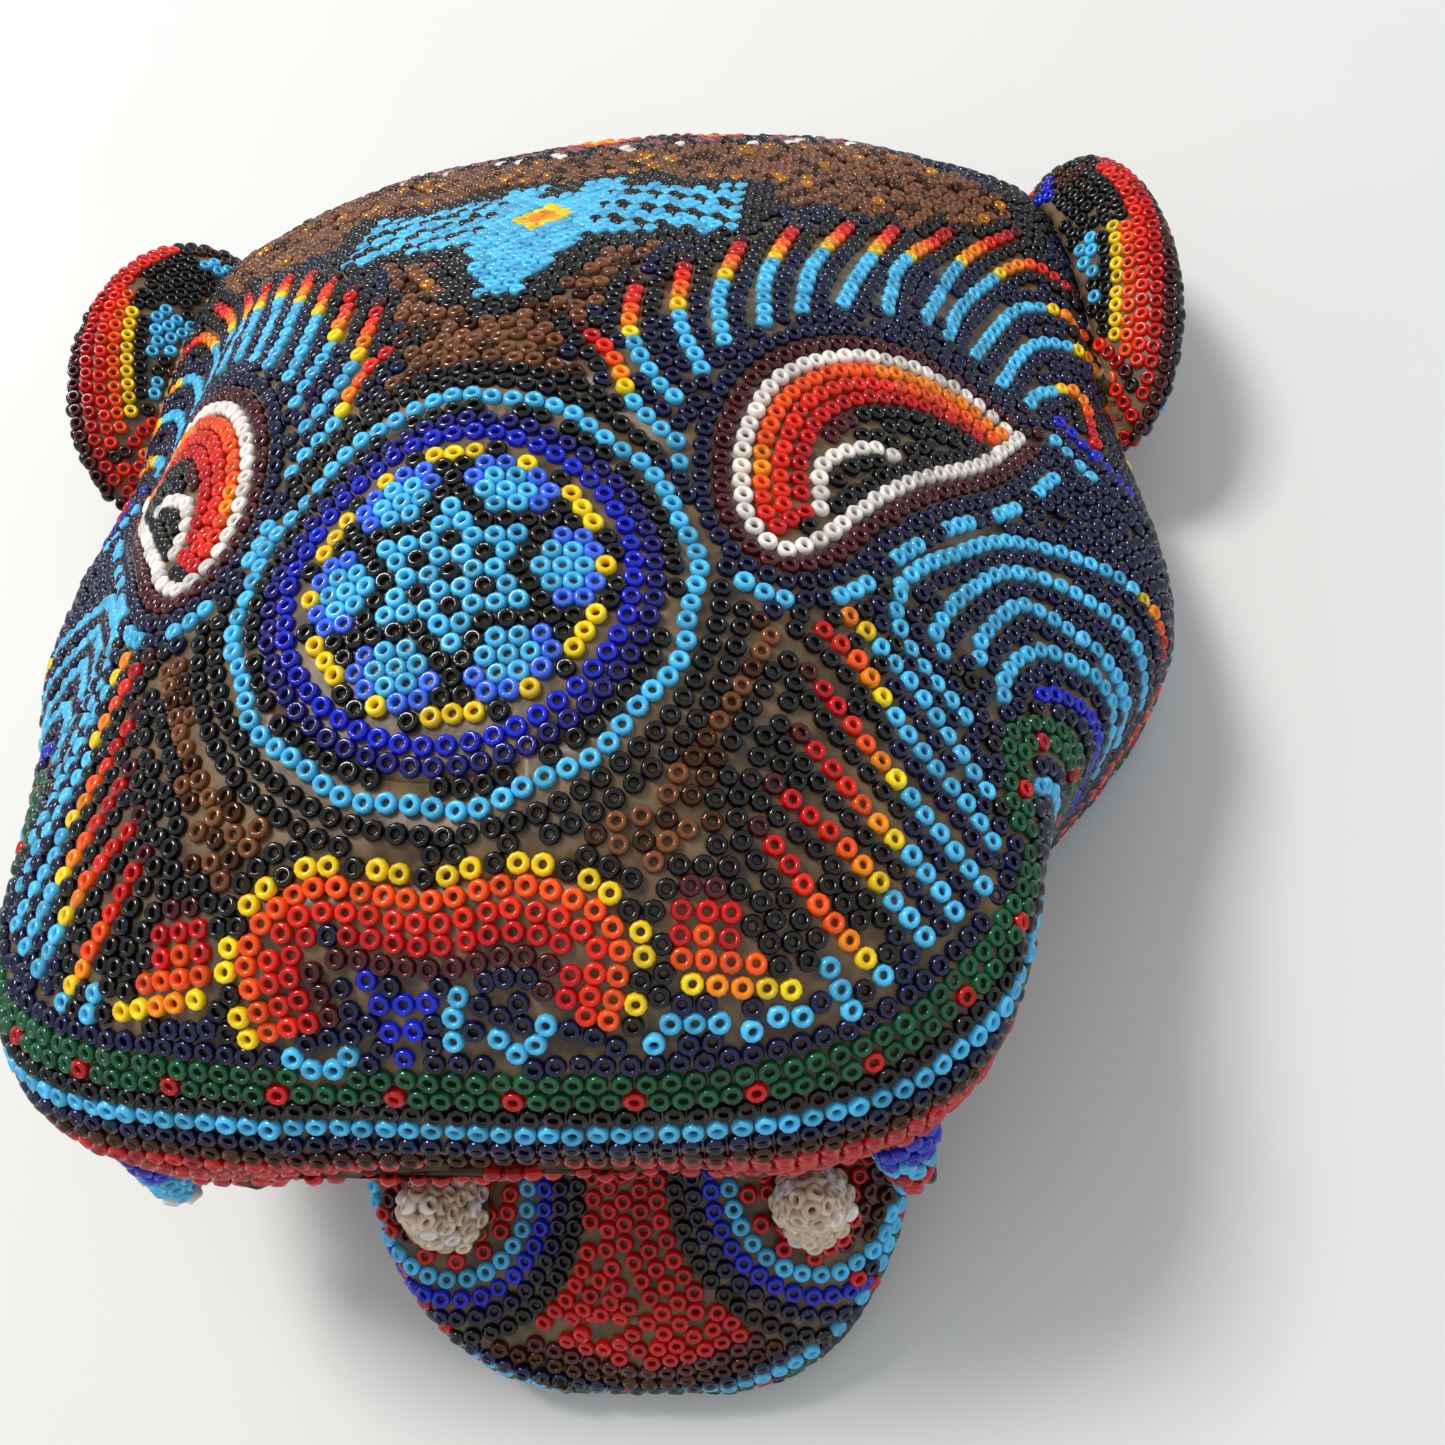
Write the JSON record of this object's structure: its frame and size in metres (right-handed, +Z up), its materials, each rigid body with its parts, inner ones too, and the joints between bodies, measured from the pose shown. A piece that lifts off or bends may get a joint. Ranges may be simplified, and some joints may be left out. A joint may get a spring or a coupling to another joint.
{
  "type": "beaded big cat head",
  "caption": "Carved wooden head of a spotted big cat with an open mouth, covered in beeswax and set all over with glass seed beads in patterned rows.",
  "frame": {"origin": "middle of the flat base that the head lies on, on that plane", "axes": "+Z up from the base, -Y to the mouth, +Y to the crown, +X to the viewer's right"},
  "size_m": [0.1554, 0.1825, 0.0708],
  "materials": {
    "wood": "bare carved softwood",
    "beeswax": "satin brown beeswax",
    "blue_beads": "glossy opaque glass seed beads",
    "red_beads": "glossy opaque glass seed beads",
    "green_beads": "glossy opaque glass seed beads",
    "turquoise_beads": "glossy opaque glass seed beads",
    "orange_beads": "glossy opaque glass seed beads",
    "maroon_beads": "glossy opaque glass seed beads",
    "navy_beads": "glossy opaque glass seed beads",
    "brown_beads": "glossy opaque glass seed beads",
    "white_beads": "glossy opaque glass seed beads",
    "black_beads": "glossy opaque glass seed beads"
  },
  "bodies": {
    "root": {"brow_beads_left": "turquoise_beads", "brow_beads_right": "turquoise_beads", "cheek_beads_left": "turquoise_beads", "cheek_beads_right": "turquoise_beads", "crown_band_beads": "orange_beads", "ear_beads_left": "black_beads", "ear_beads_right": "black_beads", "ear_core_left": "wood", "ear_core_right": "wood", "ear_wax_left": "beeswax", "ear_wax_right": "beeswax", "eye_beads_left": "maroon_beads", "eye_beads_right": "maroon_beads", "forehead_beads": "brown_beads", "forehead_bird_beads": "turquoise_beads", "head_core": "wood", "head_wax": "beeswax", "jaw_core": "wood", "jaw_rim_beads": "navy_beads", "jaw_wax": "beeswax", "lip_band_beads": "green_beads", "lower_fang_beads_left": "white_beads", "lower_fang_beads_right": "white_beads", "lower_fang_core_left": "wood", "lower_fang_core_right": "wood", "lower_fang_wax_left": "beeswax", "lower_fang_wax_right": "beeswax", "mouth_floor_beads": "red_beads", "mouth_roof_beads": "red_beads", "muzzle_beads_left": "navy_beads", "muzzle_beads_right": "navy_beads", "nose_disc_beads": "blue_beads", "nose_pad_beads": "red_beads", "temple_beads_left": "brown_beads", "temple_beads_right": "brown_beads", "upper_fang_beads_left": "blue_beads", "upper_fang_beads_right": "blue_beads", "upper_fang_core_left": "wood", "upper_fang_core_right": "wood", "upper_fang_wax_left": "beeswax", "upper_fang_wax_right": "beeswax"}
  },
  "joints": []
}
